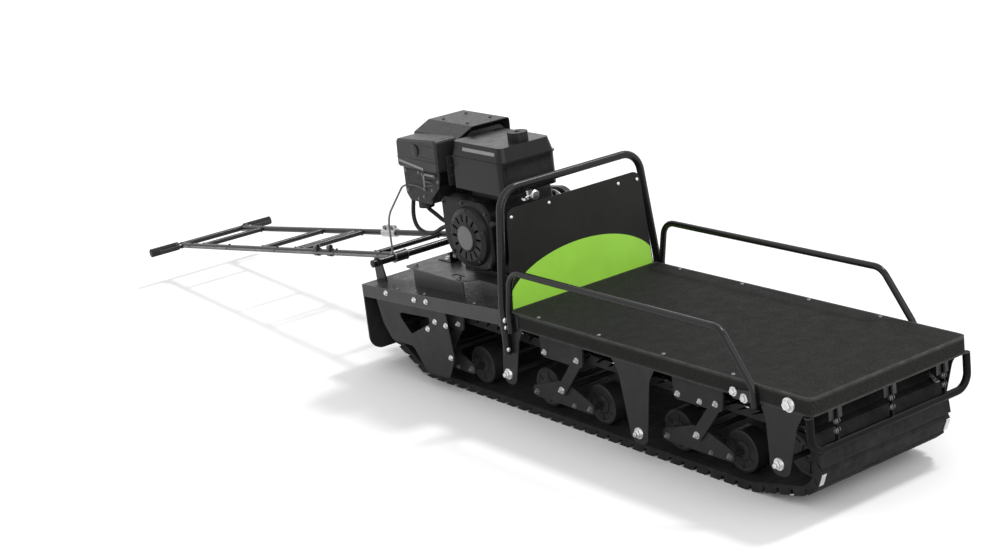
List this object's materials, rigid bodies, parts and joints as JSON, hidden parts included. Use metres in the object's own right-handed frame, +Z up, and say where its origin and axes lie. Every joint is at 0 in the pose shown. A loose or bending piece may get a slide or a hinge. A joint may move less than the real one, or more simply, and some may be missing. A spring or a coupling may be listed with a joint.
{
  "type": "motorised snow tug",
  "caption": "Tracked walk-behind snow tug with a cargo platform, a horizontal-shaft engine behind a bulkhead and a long steering frame hinged at the rear.",
  "frame": {"origin": "on the ground under the middle of the vehicle's box, steering frame included", "axes": "+X forwards, towards the cargo platform; +Y to the vehicle's left; +Z up"},
  "size_m": [3.7872, 0.65, 0.836],
  "materials": {
    "black_steel": "satin black powder coat",
    "deck_coat": "textured black coat",
    "track_rubber": "moulded rubber",
    "flap_rubber": "smooth rubber sheet",
    "roller_plastic": "matt plastic",
    "steel_shaft": "turned steel",
    "engine_black": "gloss black engine paint",
    "engine_plastic": "moulded black plastic",
    "cast_alloy": "painted cast alloy",
    "pulley_alloy": "cast alloy",
    "belt_rubber": "rubber belt",
    "grip_foam": "ribbed rubber",
    "guard_grey": "heat-proof grey paint",
    "cable_black": "smooth black sheath"
  },
  "bodies": {
    "chassis": {"main_frame": "black_steel", "cargo_deck": "deck_coat", "engine_deck": "black_steel", "bulkhead_panel": "black_steel", "bulkhead_hoop": "black_steel", "right_rail": "black_steel", "left_rail": "black_steel", "hangers": "black_steel", "right_rear_plate": "black_steel", "left_rear_plate": "black_steel", "mudflap": "flap_rubber", "tow_hitch": "black_steel", "right_bumper_end": "black_steel", "left_bumper_end": "black_steel", "front_bumper": "black_steel", "track": "track_rubber", "drive_shaft": "steel_shaft", "front_idler": "roller_plastic", "suspension_brackets": "black_steel", "swing_arms": "black_steel", "roller_carriers": "black_steel", "road_rollers": "roller_plastic", "tie_rods": "steel_shaft", "engine_mount": "black_steel", "engine_block": "cast_alloy", "fan_housing": "engine_plastic", "recoil_starter": "engine_plastic", "cylinder": "cast_alloy", "cylinder_head": "cast_alloy", "fuel_tank": "engine_black", "fuel_cap": "engine_plastic", "air_cleaner": "engine_plastic", "carburettor": "cast_alloy", "fuel_line": "cable_black", "muffler": "guard_grey", "exhaust_guard": "guard_grey", "drive_pulley": "pulley_alloy", "driven_pulley": "pulley_alloy", "drive_belt": "belt_rubber", "jackshaft_bearings": "black_steel", "belt_guard": "black_steel", "chain_case": "black_steel", "hinge_bar": "black_steel", "throttle_cable": "cable_black"},
    "steering_frame": {"steering_frame": "black_steel", "frame_rungs": "black_steel", "hand_grips": "grip_foam", "control_levers": "black_steel", "throttle_cable_rear": "cable_black"}
  },
  "joints": [
    {"name": "steering_frame_fold", "type": "hinge", "parent": "chassis", "child": "steering_frame", "pos_m": [-0.20142, 0, 0.356], "axis": [0, 1, 0], "range_deg": [0, 80]}
  ]
}
